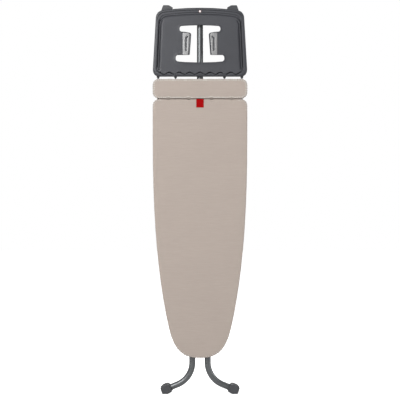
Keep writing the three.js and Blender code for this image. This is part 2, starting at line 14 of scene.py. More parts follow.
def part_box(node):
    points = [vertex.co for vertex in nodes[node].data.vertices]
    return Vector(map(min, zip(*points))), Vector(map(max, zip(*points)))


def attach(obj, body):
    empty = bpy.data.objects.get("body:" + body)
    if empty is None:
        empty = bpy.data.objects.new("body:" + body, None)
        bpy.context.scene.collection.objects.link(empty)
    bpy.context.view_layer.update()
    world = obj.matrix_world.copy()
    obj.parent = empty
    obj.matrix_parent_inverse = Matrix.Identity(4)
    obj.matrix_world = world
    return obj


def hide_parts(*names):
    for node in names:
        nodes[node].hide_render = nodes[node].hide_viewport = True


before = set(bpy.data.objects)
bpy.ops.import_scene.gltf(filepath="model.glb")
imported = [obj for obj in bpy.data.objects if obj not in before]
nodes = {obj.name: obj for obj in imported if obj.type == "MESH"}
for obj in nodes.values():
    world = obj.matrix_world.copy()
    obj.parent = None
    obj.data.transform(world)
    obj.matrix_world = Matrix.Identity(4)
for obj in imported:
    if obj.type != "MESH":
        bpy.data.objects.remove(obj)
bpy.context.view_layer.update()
MM = 0.001


# ---- Materials ----
class Look:
    """A Principled material with procedural detail in the object's own metres."""

    def __init__(self, name, color, roughness, metallic=0.0, **sockets):
        self.material = bpy.data.materials.new(name)
        self.material.use_nodes = True
        self.tree = self.material.node_tree
        self.shader = self.tree.nodes["Principled BSDF"]
        self.color = color
        self.set(self.shader, {"Base Color": (*color, 1), "Roughness": roughness, "Metallic": metallic})
        self.set(self.shader, sockets)
        self.here = self.add("ShaderNodeTexCoord").outputs["Object"]

    def set(self, node, values):
        for name, value in values.items():
            if isinstance(value, bpy.types.NodeSocket):
                self.tree.links.new(value, node.inputs[name])
            else:
                node.inputs[name].default_value = value

    def add(self, kind, values=(), **settings):
        node = self.tree.nodes.new(kind)
        for name, value in settings.items():
            setattr(node, name, value)
        self.set(node, dict(values))
        return node

    def stretched(self, scale):
        node = self.add("ShaderNodeVectorMath", operation="MULTIPLY")
        self.tree.links.new(self.here, node.inputs[0])
        node.inputs[1].default_value = scale
        return node.outputs["Vector"]

    def noise(self, scale, detail=3.0, roughness=0.55):
        values = {"Vector": self.stretched(scale), "Scale": 1.0,
                  "Detail": detail, "Roughness": roughness}
        return self.add("ShaderNodeTexNoise", values).outputs["Fac"]

    def bands(self, axis, period):
        turns = 2 * math.pi / 20
        values = {"Vector": self.here, "Scale": turns / period}
        return self.add("ShaderNodeTexWave", values, bands_direction=axis).outputs["Fac"]

    def math(self, operation, a, b):
        node = self.add("ShaderNodeMath", operation=operation)
        for socket, value in zip(node.inputs, (a, b)):
            if isinstance(value, bpy.types.NodeSocket):
                self.tree.links.new(value, socket)
            else:
                socket.default_value = value
        return node.outputs["Value"]

    def between(self, fac, low, high, to_low, to_high):
        values = {"Value": fac, "From Min": low, "From Max": high, "To Min": to_low, "To Max": to_high}
        return self.add("ShaderNodeMapRange", values).outputs["Result"]

    def tint(self, fac, low, high, dark, light):
        """Colours the surface from dark to light times its own colour as fac goes from low to high."""
        ramp = self.add("ShaderNodeValToRGB", {"Fac": fac})
        for element, at, factor in zip(ramp.color_ramp.elements, (low, high), (dark, light)):
            element.position = at
            tone = factor if hasattr(factor, "__len__") else (factor,) * 3
            element.color = (*[c * t for c, t in zip(self.color, tone)], 1)
        self.set(self.shader, {"Base Color": ramp.outputs["Color"]})
        return ramp

    def rough(self, fac, low, high):
        self.set(self.shader, {"Roughness": self.between(fac, 0.3, 0.7, low, high)})

    def bump(self, height, distance, strength=1.0):
        before = self.shader.inputs["Normal"].links
        values = {"Height": height, "Distance": distance, "Strength": strength}
        if before:
            values["Normal"] = before[0].from_socket
        self.set(self.shader, {"Normal": self.add("ShaderNodeBump", values).outputs["Normal"]})


def fabric(name, color, thread, slub, sheen=0.25):
    """Plain-weave cloth with slubs along both threads and faint cloudiness."""
    look = Look(name, color, 0.92, **{
        "Sheen Weight": sheen, "Sheen Roughness": 0.5, "Specular IOR Level": sheen})
    across = look.noise((38, 38, 950), 2)
    along = look.noise((950, 38, 38), 2)
    cloud = look.noise((9, 9, 14), 3)
    mixed = look.math("ADD", look.math("MULTIPLY", across, 0.5), look.math("MULTIPLY", along, 0.25))
    mixed = look.math("ADD", mixed, look.math("MULTIPLY", cloud, 0.25))
    streak = look.noise((22, 22, 420), 2)
    mixed = look.math("ADD", look.math("MULTIPLY", mixed, 0.6), look.math("MULTIPLY", streak, 0.4))
    look.tint(mixed, 0.36, 0.64, 1 - slub, 1 + slub)
    warp, weft = look.bands("X", thread), look.bands("Z", thread)
    look.bump(look.math("MULTIPLY", warp, weft), 0.00012, 0.6)
    look.bump(mixed, 0.0005, 0.5)
    return look.material


def paint(name, color, roughness, metallic):
    """Powder coat: a fine grain with a little fleck."""
    look = Look(name, color, roughness, metallic, **{"Coat Weight": 0.15, "Coat Roughness": 0.25})
    grain = look.noise((1400, 1400, 1400), 2)
    look.tint(look.noise((420, 420, 420), 4), 0.35, 0.65, 0.88, 1.12)
    look.rough(look.noise((60, 60, 60), 3), roughness - 0.05, roughness + 0.08)
    look.bump(grain, 0.00006, 0.5)
    return look.material


def plastic(name, color, roughness, grain=0.00008):
    """Moulded plastic: spark-eroded grain, faint flow marks and polished spots."""
    look = Look(name, color, roughness, **{"Specular IOR Level": 0.45})
    look.tint(look.noise((22, 22, 22), 4), 0.3, 0.7, 0.95, 1.05)
    look.rough(look.noise((35, 35, 35), 4), roughness - 0.06, roughness + 0.06)
    look.bump(look.noise((1100, 1100, 1100), 2), grain, 0.7)
    return look.material


def metal(name, color, roughness, brush):
    """Bare steel with brush marks along the way that brush stretches least."""
    look = Look(name, color, roughness, 1.0)
    marks = look.noise(brush, 3)
    look.tint(marks, 0.3, 0.7, 0.92, 1.06)
    look.rough(marks, roughness - 0.03, roughness + 0.06)
    look.bump(marks, 0.00001, 0.3)
    return look.material


cloth = fabric("taupe_cloth", (0.388, 0.330, 0.292), 0.0009, 0.045)
felt = Look("pad_felt", (0.5, 0.48, 0.44), 0.95)
felt.tint(felt.noise((300, 300, 300), 5), 0.3, 0.7, 0.8, 1.15)
felt.bump(felt.noise((700, 700, 700), 4), 0.0006, 0.8)
felt = felt.material
# A darker copy of the cover cloth: painted shade for the cloth seen inside the gaps between the covers.
shade_cloth = fabric("shaded_webbing", (0.33, 0.28, 0.245), 0.0012, 0.1)
label_red = fabric("label_weave", (0.31, 0.0035, 0.0045), 0.0005, 0.1, 0.02)
thread_look = Look("red_thread", (0.3, 0.01, 0.016), 0.8)
thread_look.tint(thread_look.noise((2500, 2500, 2500), 2), 0.3, 0.7, 0.7, 1.2)
thread_look = thread_look.material
graphite = paint("graphite_coat", (0.125, 0.132, 0.136), 0.3, 0.6)
deck_steel = metal("deck_steel", (0.40, 0.41, 0.42), 0.42, (500, 500, 500))
bright = metal("brushed_steel", (0.30, 0.30, 0.302), 0.36, (1200, 1200, 20))
zinc = metal("zinc_steel", (0.56, 0.57, 0.58), 0.34, (260, 260, 260))
tray_look = plastic("tray_plastic", (0.043, 0.0445, 0.052), 0.46)
black = plastic("black_plastic", (0.028, 0.029, 0.032), 0.5)
foot_look = plastic("foot_plastic", (0.055, 0.057, 0.062), 0.36)
stud_look = plastic("stud_plastic", (0.86, 0.82, 0.81), 0.3, 0.00003)
ring_look = plastic("ring_plastic", (0.14, 0.05, 0.05), 0.4, 0.00003)


# ---- Meshes ----
def piece(name, points, faces, material, body, slot=None, replaces=(), face_front=False):
    mesh = bpy.data.meshes.new(name)
    mesh.from_pydata([tuple(p) for p in points], [], [tuple(int(i) for i in f) for f in faces])
    mesh.validate()
    form = bmesh.new()
    form.from_mesh(mesh)
    bmesh.ops.recalc_face_normals(form, faces=form.faces)
    form.to_mesh(mesh)
    form.free()
    if face_front and sum(p.normal.y * p.area for p in mesh.polygons) > 0:
        mesh.flip_normals()
    mesh.polygons.foreach_set("use_smooth", [True] * len(mesh.polygons))
    mesh.materials.append(material)
    made = bpy.data.objects.new(name, mesh)
    bpy.context.scene.collection.objects.link(made)
    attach(made, body)
    if replaces:
        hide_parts(*replaces)
    return made


def modifier(obj, kind, **settings):
    added = obj.modifiers.new(kind.lower(), kind)
    for name, value in settings.items():
        setattr(added, name, value)
    return added


def softened(obj, width, segments=2, angle=28):
    modifier(obj, "BEVEL", width=width, segments=segments, limit_method="ANGLE",
             angle_limit=math.radians(angle), harden_normals=True)
    return obj


def strip_faces(rows, columns, start=0, closed=True):
    """Quads between successive rows of columns points each."""
    last = columns if closed else columns - 1
    return [(start + r * columns + c, start + r * columns + (c + 1) % columns,
             start + (r + 1) * columns + (c + 1) % columns, start + (r + 1) * columns + c)
            for r in range(rows - 1) for c in range(last)]


def flipped(faces):
    return [tuple(reversed(f)) for f in faces]


def smoothstep(low, high, value):
    t = np.clip((value - low) / (high - low), 0, 1)
    return t * t * (3 - 2 * t)


def wobble(values, seed, scale):
    """Smooth noise from -1 to 1 along a list of lengths."""
    return np.array([noise.noise(Vector((v / scale, seed * 7.3, 0.4))) for v in np.atleast_1d(values)])


def patch(points, seed, scale):
    return np.array([noise.noise(Vector((p[0] / scale, p[1] / scale, seed * 3.1))) for p in points])


# ---- Outlines in the XZ plane, anticlockwise seen from the front ----
def resampled(points, count):
    loop = np.vstack([points, points[:1]])
    length = np.concatenate([[0], np.cumsum(np.linalg.norm(np.diff(loop, axis=0), axis=1))])
    at = np.linspace(0, length[-1], count, endpoint=False)
    return np.column_stack([np.interp(at, length, loop[:, k]) for k in (0, 1)]), length[-1]


def eased(points, total, radius):
    """Smooths a closed outline of evenly spaced points over about radius."""
    wave = np.fft.fft(points, axis=0)
    turns = np.fft.fftfreq(len(points), total / len(points))
    return np.fft.ifft(wave * np.exp(-2 * (math.pi * radius * turns[:, None]) ** 2), axis=0).real


def inward(points):
    along = np.roll(points, -1, axis=0) - np.roll(points, 1, axis=0)
    normal = np.column_stack([-along[:, 1], along[:, 0]])
    return normal / np.linalg.norm(normal, axis=1)[:, None]


def front_outline(name, count, ease):
    """The outline of a CAD node's front face."""
    low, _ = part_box(name)
    places = [v.co for v in nodes[name].data.vertices]
    found = {(round(at.x, 6), round(at.z, 6)) for at in places if at.y < low.y + 1e-4}
    found = np.array(sorted(found))
    hull = np.array([found[i] for i in geometry.convex_hull_2d([Vector(p) for p in found])])
    even, total = resampled(hull, count)
    area = np.sum(even[:, 0] * np.roll(even[:, 1], -1) - np.roll(even[:, 0], -1) * even[:, 1])
    if area < 0:
        even = even[::-1]
    start = int(np.argmin(np.hypot(even[:, 0], even[:, 1] - even[:, 1].min())))
    return eased(np.roll(even, -start, axis=0), total, ease), total


def rounded(corners, steps=8):
    """Corners are (x, z, radius) in millimetres; the points come back in metres."""
    flat = np.array([c[:2] for c in corners], float)
    out = []
    for i, (_, _, radius) in enumerate(corners):
        here = flat[i]
        back = flat[i - 1] - here
        on = flat[(i + 1) % len(flat)] - here
        back, on = back / np.linalg.norm(back), on / np.linalg.norm(on)
        if not radius:
            out.append(here)
            continue
        half = math.acos(np.clip(back @ on, -1, 1)) / 2
        middle = back + on
        centre = here + middle / np.linalg.norm(middle) * radius / math.sin(half)
        start = here + back * radius / math.tan(half) - centre
        end = here + on * radius / math.tan(half) - centre
        turn = math.atan2(start[0] * end[1] - start[1] * end[0], start @ end)
        for k in range(steps + 1):
            c, s = math.cos(turn * k / steps), math.sin(turn * k / steps)
            out.append(centre + np.array([c * start[0] - s * start[1], s * start[0] + c * start[1]]))
    return np.array(out) * MM


def inside(points, loop):
    """Which of the points lie in a closed loop."""
    x, z = points[:, 0][:, None], points[:, 1][:, None]
    a, b = loop, np.roll(loop, -1, axis=0)
    crosses = (a[:, 1] > z) != (b[:, 1] > z)
    with np.errstate(divide="ignore", invalid="ignore"):
        at = a[:, 0] + (z - a[:, 1]) * (b[:, 0] - a[:, 0]) / (b[:, 1] - a[:, 1])
    return (np.sum(crosses & (x < at), axis=1) % 2) == 1


def fill(loops, spacing):
    """Triangles inside the first loop and outside the others, on a grid of that spacing.
    Gives the grid's points, and triangles that index the loops' points and then the grid's."""
    rim = np.vstack(loops)
    low, high = loops[0].min(0), loops[0].max(0)
    xs = np.arange(low[0] + spacing / 2, high[0], spacing)
    zs = np.arange(low[1] + spacing / 2, high[1], spacing)
    grid = np.array([(x + (j % 2) * spacing / 2, z) for j, z in enumerate(zs) for x in xs])
    keep = inside(grid, loops[0])
    for hole in loops[1:]:
        keep &= ~inside(grid, hole)
    tree = kdtree.KDTree(len(rim))
    for i, p in enumerate(rim):
        tree.insert((p[0], p[1], 0), i)
    tree.balance()
    spaced = [p for p in grid[keep] if tree.find((p[0], p[1], 0))[2] > spacing * 0.6]
    grid = np.array(spaced).reshape(-1, 2)
    edges, start = [], 0
    for loop in loops:
        edges += [(start + i, start + (i + 1) % len(loop)) for i in range(len(loop))]
        start += len(loop)
    every = np.vstack([rim, grid])
    made = geometry.delaunay_2d_cdt([Vector(p) for p in every], edges, [], 1, 1e-7)
    first = [ids[0] if ids else -1 for ids in made[3]]
    faces = [tuple(first[i] for i in f) for f in made[2]]
    centres = np.array([np.mean([made[0][i] for i in f], axis=0) for f in made[2]])
    good = inside(centres, loops[0])
    for hole in loops[1:]:
        good &= ~inside(centres, hole)
    return grid, [f for f, ok in zip(faces, good) if ok and min(f) >= 0]


def relinked(faces, outer, hole, grid_start):
    """Turns fill's indices into a mesh's own; outer and hole are each loop's (start, count) there."""
    def index(i):
        if i < outer[1]:
            return outer[0] + i
        if i < outer[1] + hole[1]:
            return hole[0] + i - outer[1]
        return grid_start + i - outer[1] - hole[1]
    return [tuple(index(i) for i in f) for f in faces]


def at_depth(flat, depth):
    """Points (x, z) at a depth y."""
    depth = np.broadcast_to(depth, len(flat))
    return np.column_stack([flat[:, 0], depth, flat[:, 1]])


# ---- Tubes ----
def arc(centre, radius, start, end, steps, depth):
    """Points round a bend in the XZ plane, angles in degrees from +X towards +Z."""
    angles = np.radians(np.linspace(start, end, steps))
    return [(centre[0] + radius * math.cos(a), depth, centre[1] + radius * math.sin(a)) for a in angles]


def sweep(path, radius, sides=28, closed=False, ends=True):
    """A round tube with flat caps on its ends; radius is one number or one for each point."""
    path = np.array(path, float)
    radii = np.broadcast_to(radius, len(path)).astype(float)
    heading = np.gradient(path, axis=0)
    if closed:
        heading = np.roll(path, -1, axis=0) - np.roll(path, 1, axis=0)
    heading /= np.linalg.norm(heading, axis=1)[:, None]
    side = np.cross(heading[0], (0, 1, 0))
    if np.linalg.norm(side) < 1e-3:
        side = np.cross(heading[0], (1, 0, 0))
    turn = np.linspace(0, 2 * math.pi, sides, endpoint=False)
    points = []
    for p, h, r in zip(path, heading, radii):
        side = side - h * (side @ h)
        side /= np.linalg.norm(side)
        other = np.cross(h, side)
        points += [p + r * (math.cos(a) * side + math.sin(a) * other) for a in turn]
    faces = strip_faces(len(path), sides)
    if closed:
        last = (len(path) - 1) * sides
        faces += [(last + c, last + (c + 1) % sides, (c + 1) % sides, c) for c in range(sides)]
    elif ends:
        faces += [tuple(range(sides))[::-1], tuple(range(len(points) - sides, len(points)))]
    return points, faces


def merged(parts):
    points, faces = [], []
    for more, theirs in parts:
        faces += [tuple(i + len(points) for i in f) for f in theirs]
        points += list(more)
    return points, faces


def box_part(x, y, z):
    points = [(a, b, c) for a in x for b in y for c in z]
    faces = [(0, 1, 3, 2), (4, 6, 7, 5), (0, 4, 5, 1), (2, 3, 7, 6), (0, 2, 6, 4), (1, 5, 7, 3)]
    return points, faces


def mirrored(part):
    points, faces = part
    return [(-p[0], p[1], p[2]) for p in points], flipped(faces)


def turned(profile, centre, axis, sides=40):
    """A turned piece: profile is (radius, along) pairs from one end of the axis to the other."""
    axis = Vector(axis).normalized()
    side = axis.orthogonal().normalized()
    other = axis.cross(side)
    points = []
    for radius, along in profile:
        for k in range(sides):
            a = 2 * math.pi * k / sides
            spoke = side * math.cos(a) + other * math.sin(a)
            points.append(Vector(centre) + axis * along + spoke * radius)
    faces = strip_faces(len(profile), sides)
    faces += [tuple(range(sides))[::-1], tuple(range(len(points) - sides, len(points)))]
    return points, faces


# ---- Cloth covers ----
def cover(name, node, body, replaces, edge_shift, corner_gather, drop, seed):
    """A fitted cover: the face, a rolled edge, a skirt and a gathered hem drawn in behind the rim."""
    low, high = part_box(node)
    count = 1100 if high.z - low.z > 0.5 else 620
    outline, total = front_outline(node, count, 3.0 * MM)
    run = np.arange(count) * total / count
    bend = np.linalg.norm(np.roll(outline, -1, 0) - 2 * outline + np.roll(outline, 1, 0), axis=1)
    bend /= (total / count) ** 2
    wide = int(40 * MM / (total / count))
    kernel = np.hanning(2 * wide + 1)
    ring = np.concatenate([bend[-wide:], bend, bend[:wide]])
    gather = np.clip(np.convolve(ring, kernel / kernel.sum(), "valid") / 12, 0, 1)
    phase = 2 * math.pi * run / (9.5 * MM) + 2.4 * wobble(run, seed, 22 * MM)
    amount = 0.25 + 1.5 * gather
    pucker = np.sin(phase) * amount + 0.5 * wobble(run, seed + 1, 9 * MM)
    normal = inward(outline)
    outline = outline - normal * edge_shift(outline)[:, None]

    front, back = low.y + 0.2 * MM, high.y
    roll, reach = 5.5 * MM, 19 * MM
    rows = []
    for d in np.linspace(reach, roll, 9):
        near = (1 - (d - roll) / (reach - roll)) ** 2
        rows.append((d, front + drop * near, 0.8 * MM * near * corner_gather, 0))
    for k in range(1, 8):
        a = math.pi / 2 * k / 7
        sink = front + drop + roll * (1 - math.cos(a)) * 0.9
        rows.append((roll * (1 - math.sin(a)), sink, 0.8 * MM * corner_gather, 0.45 * MM * k / 7))
    skirt_start = rows[-1][1]
    for t in np.linspace(0, 1, 7)[1:]:
        skirt = skirt_start + (back - 2.4 * MM - skirt_start) * t
        rows.append((0.4 * MM * math.sin(math.pi * t), skirt, 0, (0.3 + 0.25 * t) * MM))
    for k in range(1, 5):
        a = math.pi / 2 * k / 4
        turned_in = back - 2.4 * MM + 1.6 * MM * math.sin(a)
        rows.append((2.2 * MM * (1 - math.cos(a)), turned_in, 0.3 * MM, 0.4 * MM))
    hem = 13.5 * MM
    for t in np.linspace(0, 1, 7)[1:]:
        across = 2.2 * MM + (hem - 2.2 * MM) * t
        rows.append((across, back - 0.9 * MM, 0.55 * MM * math.sin(math.pi * t), 0))
    points = []
    for d, depth, press, swell in rows:
        flat = outline + normal * (d + 0.6 * MM - swell * pucker)[:, None]
        points.append(at_depth(flat, np.clip(depth - press * pucker, low.y, back)))
    inner = points[0][:, [0, 2]]
    grid, faces = fill([inner[::2]], 10 * MM)
    top = inner[::2].shape[0]
    fill_faces = [tuple((i * 2) if i < top else len(rows) * count + i - top for i in f) for f in faces]
    # The face's first ring is twice as fine as its fill, so each pair of edges shares one triangle.
    fans = [(i, i + 1, (i + 2) % count) for i in range(0, count, 2)]
    undulate = front + 0.12 * MM * patch(grid, seed, 0.07)
    points = np.vstack(points + [at_depth(grid, undulate)])
    faces = flipped(strip_faces(len(rows), count)) + fill_faces + flipped(fans)
    made = piece(name, points, faces, cloth, body, "cover_cloth", replaces, face_front=True)
    modifier(made, "SOLIDIFY", thickness=0.7 * MM, offset=-1)
    return made, outline


lens_at = np.array([-127, -45, 45, 127]) * MM


def lens(x):
    """Eye-shaped openings between the main cover and the end cover, 1 at the middle of each."""
    gap = np.abs(x[:, None] - lens_at).min(axis=1) / (9.5 * MM)
    return np.clip(1 - gap**2, 0, 1)


def main_edge(outline):
    """How far the main cover's square end stands towards the end cover."""
    top = smoothstep(outline[:, 1].max() - 6 * MM, outline[:, 1].max() - 1 * MM, outline[:, 1])
    puff = 1.5 - 2.4 * lens(outline[:, 0]) + 0.25 * wobble(outline[:, 0], 3, 12 * MM)
    return top * puff * MM * (np.abs(outline[:, 0]) < 175 * MM)


def end_edge(outline):
    low, high = outline[:, 1].min(), outline[:, 1].max()
    bottom = 1 - smoothstep(low + 1 * MM, low + 6 * MM, outline[:, 1])
    top = smoothstep(high - 6 * MM, high - 1 * MM, outline[:, 1])
    within = np.abs(outline[:, 0]) < 175 * MM
    puff = 1.4 - 2.4 * lens(outline[:, 0]) + 0.25 * wobble(outline[:, 0], 5, 12 * MM)
    scallop = 0.5 + 0.5 * np.cos(2 * math.pi * outline[:, 0] / (41 * MM))
    return (bottom * puff + top * 0.8 * scallop) * MM * within


main_cover, main_line = cover(
    "cover_board", "cover_main", "board", ["cover_main"], main_edge, 1.0, 0.9 * MM, 1)
end_cover, end_line = cover(
    "cover_strip", "cover_end", "iron_rest", ["cover_end"], end_edge, 0.5, 1.5 * MM, 2)


def pad(name, outline, node, body, seed):
    """A felt slab with rounded edges and a softly crowned face."""
    low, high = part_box(node)
    line, _ = resampled(outline, len(outline) // 3)
    normal = inward(line)
    radius = (high.y - low.y) / 2
    middle = (high.y + low.y) / 2
    rows, count = [], len(line)
    for k in range(9):
        a = math.pi * k / 8
        rows.append(at_depth(line + normal * (2.6 * MM + radius * (1 - math.sin(a))),
                             middle - radius * math.cos(a) * 0.97))
    grid, faces = fill([rows[0][:, [0, 2]]], 14 * MM)
    crown = -0.03 * radius * (1 + patch(grid, seed, 0.05))
    front = at_depth(grid, middle - radius * 0.97 + crown)
    behind = at_depth(grid, middle + radius * 0.97)
    start = len(rows) * count
    last = (len(rows) - 1) * count
    top = [tuple(i if i < count else start + i - count for i in f) for f in faces]
    bottom = [tuple(last + i if i < count else start + len(grid) + i - count for i in f)
              for f in faces]
    points = np.vstack(rows + [front, behind])
    sides = flipped(strip_faces(len(rows), count))
    made = piece(name, points, sides + top + flipped(bottom), felt, body, "pad_foam", [node])
    return made


pad("felt_board", main_line, "pad_main", "board", 3)
pad("felt_strip", end_line, "pad_end", "iron_rest", 4)


# ---- Label ----
def label():
    low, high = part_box("cover_label")
    columns, rows = 31, 33
    xs, zs = np.linspace(low.x, high.x, columns), np.linspace(low.z, high.z, rows)
    points = []
    for z in zs:
        for x in xs:
            edge = min(x - low.x, high.x - x, z - low.z, high.z - z)
            lift = 0.35 * MM * smoothstep(0, 6 * MM, edge)
            lift = lift + 0.1 * MM * noise.noise(Vector((x, 0, z)) * 160)
            points.append((x, low.y + 0.45 * MM - lift, z))
    made = piece("label_patch", points, strip_faces(rows, columns, closed=False), label_red,
                 "board", "label_cloth", ["cover_label"], face_front=True)
    modifier(made, "SOLIDIFY", thickness=0.3 * MM, offset=-1)
    inset, pitch, stitches = 1.8 * MM, 2.4 * MM, []
    for z in np.arange(low.z + inset, high.z - inset + 1e-6, pitch):
        for x in (low.x + inset, high.x - inset):
            stitches.append(sweep([(x, low.y + 0.35 * MM, z - 0.75 * MM), (x, low.y + 0.1 * MM, z),
                                   (x, low.y + 0.35 * MM, z + 0.75 * MM)], 0.22 * MM, 6))
    sewn = piece("label_stitches", *merged(stitches), thread_look, "board", "label_cloth")


label()


def gap_flap():
    """A cloth strip sewn behind the main cover's square end, in a darker copy of the cover cloth that
    is painted shade for inside the gap; it shows through the gap to the end cover.
    """
    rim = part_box("board_rim")[1]
    span = 172 * MM
    columns, points = 90, []
    profile = [(-13, 0), (-12.6, .35), (-2, .35), (6, .3), (13, .1), (14, -.2)]
    for up, out in profile:
        for x in np.linspace(-span, span, columns):
            ripple = 0.25 * noise.noise(Vector((x * 60, up * 0.1, 2.0)))
            points.append((x, rim.y + (2.0 + out + ripple) * MM, rim.z + up * MM))
    made = piece("gap_flap", points, strip_faces(len(profile), columns, closed=False), shade_cloth,
                 "board", "cover_cloth", face_front=True)
    modifier(made, "SOLIDIFY", thickness=0.8 * MM, offset=0)
    # A folded tongue of the same darker cloth, painted shade, fills each eye-shaped opening.
    middle, tongues = rim.z + 3.5 * MM, []
    fold = [(-1, 1), (-1, -8), (-1, -15.5), (-0.6, -17), (0, -17.6),
            (0.6, -17), (1, -15.5), (1, -8), (1, 1)]
    for centre in lens_at:
        xs = np.linspace(centre - 10 * MM, centre + 10 * MM, 21)
        half = (0.25 + 1.9 * lens(xs)) * MM
        rows = []
        for side, depth in fold:
            rows += [(x, rim.y + (1.0 + depth) * MM, middle + side * h) for x, h in zip(xs, half)]
        tongues.append((rows, strip_faces(len(fold), len(xs), closed=False)))
    folded = piece("gap_tongues", *merged(tongues), shade_cloth, "board", "cover_cloth", face_front=True)
    modifier(folded, "SOLIDIFY", thickness=0.3 * MM, offset=0)


gap_flap()


# ---- Expanded-metal deck ----
def deck():
    """Diamond mesh: each strand of the lattice is a thin flat bar, inside a plain border."""
    low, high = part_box("deck_mesh")
    outline, _ = front_outline("deck_mesh", 900, 2 * MM)
    normal = inward(outline)
    inner = outline + normal * 9 * MM
    wide, tall, strand = 13 * MM, 32 * MM, 1.3 * MM
    hole = 1 - 2.2 * strand / wide
    points, faces = [], []
    limit = outline + normal * 8 * MM
    columns = int((high.x - low.x) / wide) + 2
    rows = int((high.z - low.z) / tall) + 2
    centres = np.array([((i - columns / 2 + (j % 2) / 2) * wide, low.z + j * tall / 2)
                        for j in range(2 * rows) for i in range(columns)])
    reach = np.array([(0, tall / 2), (wide / 2, 0), (0, -tall / 2), (-wide / 2, 0)])
    fits = np.all([inside(centres + r * 0.9, limit) for r in reach], axis=0)
    for cx, cz in centres[fits]:
        start = len(points)
        for scale, depth in ((1, low.y), (hole, low.y), (hole, high.y), (1, high.y)):
            points += [(cx + dx * scale, depth, cz + dz * scale) for dx, dz in reach]
        for a, b in ((0, 1), (1, 2), (2, 3)):
            faces += [(start + 4 * a + k, start + 4 * a + (k + 1) % 4, start + 4 * b + (k + 1) % 4,
                       start + 4 * b + k) for k in range(4)]
    mesh = piece("deck_lattice", points, faces, deck_steel, "board", "deck_steel", ["deck_mesh"])
    modifier(mesh, "WELD", merge_threshold=0.02 * MM)
    count = len(outline)
    outer, within = outline + normal * 0.3 * MM, inner + normal * 8 * MM
    border = [at_depth(outer, low.y), at_depth(within, low.y),
              at_depth(within, high.y), at_depth(outer, high.y)]
    last = 3 * count
    ring = strip_faces(4, count)
    ring += [(last + c, last + (c + 1) % count, (c + 1) % count, c) for c in range(count)]
    piece("deck_border", np.vstack(border), flipped(ring), deck_steel, "board", "deck_steel")


deck()


# ---- Legs ----
tube_radius = 12.5 * MM
tube_y = (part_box("pivot_bolt")[0].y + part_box("pivot_bolt")[1].y) / 2


def collars(name, at, heading, body):
    """Two soft rings where a tube goes into its foot cap."""
    loops = []
    for shift, over, thin in ((0, 0.6, 1.5), (2.6, 0.7, 1.1)):
        centre = at + heading * shift * MM
        loop = [centre + (tube_radius + over * MM) * (math.cos(a) * np.array((0, 1, 0)) +
                                                      math.sin(a) * np.cross(heading, (0, 1, 0)))
                for a in np.linspace(0, 2 * math.pi, 48, endpoint=False)]
        loops.append(sweep(loop, thin * MM, 14, closed=True))
    part = merged(loops)
    piece(f"{name}_right", *part, foot_look, body, "foot_plastic")
    piece(f"{name}_left", *mirrored(part), foot_look, body, "foot_plastic")


def front_legs():
    low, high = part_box("front_leg_tube_right")
    x = low.x + tube_radius
    radius, turn, top, reach = 96 * MM, 68, 122.5 * MM, 126 * MM
    path = [(x, tube_y, z) for z in np.linspace(high.z, top + 2 * MM, 60)]
    path += arc((x + radius, top), radius, 180, 180 + turn, 32, tube_y)
    end = np.array(path[-1])
    heading = np.array((math.sin(math.radians(turn)), 0, -math.cos(math.radians(turn))))
    run = (reach - end[0]) / heading[0]
    path += [tuple(end + heading * run * t) for t in np.linspace(0, 1, 8)[1:]]
    for side, name in ((1, "right"), (-1, "left")):
        part = sweep(path, tube_radius)
        piece(f"front_tube_{name}", *(part if side > 0 else mirrored(part)), graphite, "front_leg",
              "graphite_paint", [f"front_leg_tube_{name}"])
    collars("front_collar", end + heading * (run - 10.5 * MM), heading, "front_leg")


def rear_legs():
    low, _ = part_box("rear_leg_tube")
    radius, reach = 290 * MM, 122 * MM
    leg_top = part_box("rear_foot_cap_right")[1].z
    end_turn = math.degrees(math.asin(reach / radius))
    centre_z = leg_top - 22.4 * MM + radius * math.cos(math.radians(end_turn))
    bar = arc((0, centre_z), radius, -90 - end_turn, -90 + end_turn, 72, tube_y)
    piece("rear_bar", *sweep(bar, tube_radius), graphite, "rear_leg", "graphite_paint",
          ["rear_foot_bar"])
    crown = centre_z - radius
    upright = [(0, tube_y, z) for z in np.linspace(low.z, crown - 2 * MM, 90)]
    piece("rear_tube", *sweep(upright, tube_radius), graphite, "rear_leg", "graphite_paint",
          ["rear_leg_tube"])
    bead = []
    for a in np.linspace(0, 2 * math.pi, 60, endpoint=False):
        x, y = (tube_radius + 0.3 * MM) * math.cos(a), (tube_radius + 0.3 * MM) * math.sin(a)
        sag = math.sqrt(max(tube_radius**2 - y * y * 0.94, 0))
        bead.append((x, tube_y + y, crown - sag + x * x / 2 / radius))
    ripple = 1.5 * MM + 0.25 * MM * np.sin(np.arange(60) * 1.9)
    piece("weld_bead", *sweep(bead, ripple, 10, closed=True), graphite, "rear_leg", "graphite_paint")
    at, after = np.array(bar[-6]), np.array(bar[-5])
    collars("rear_collar", at, (after - at) / np.linalg.norm(after - at), "rear_leg")


front_legs()
rear_legs()


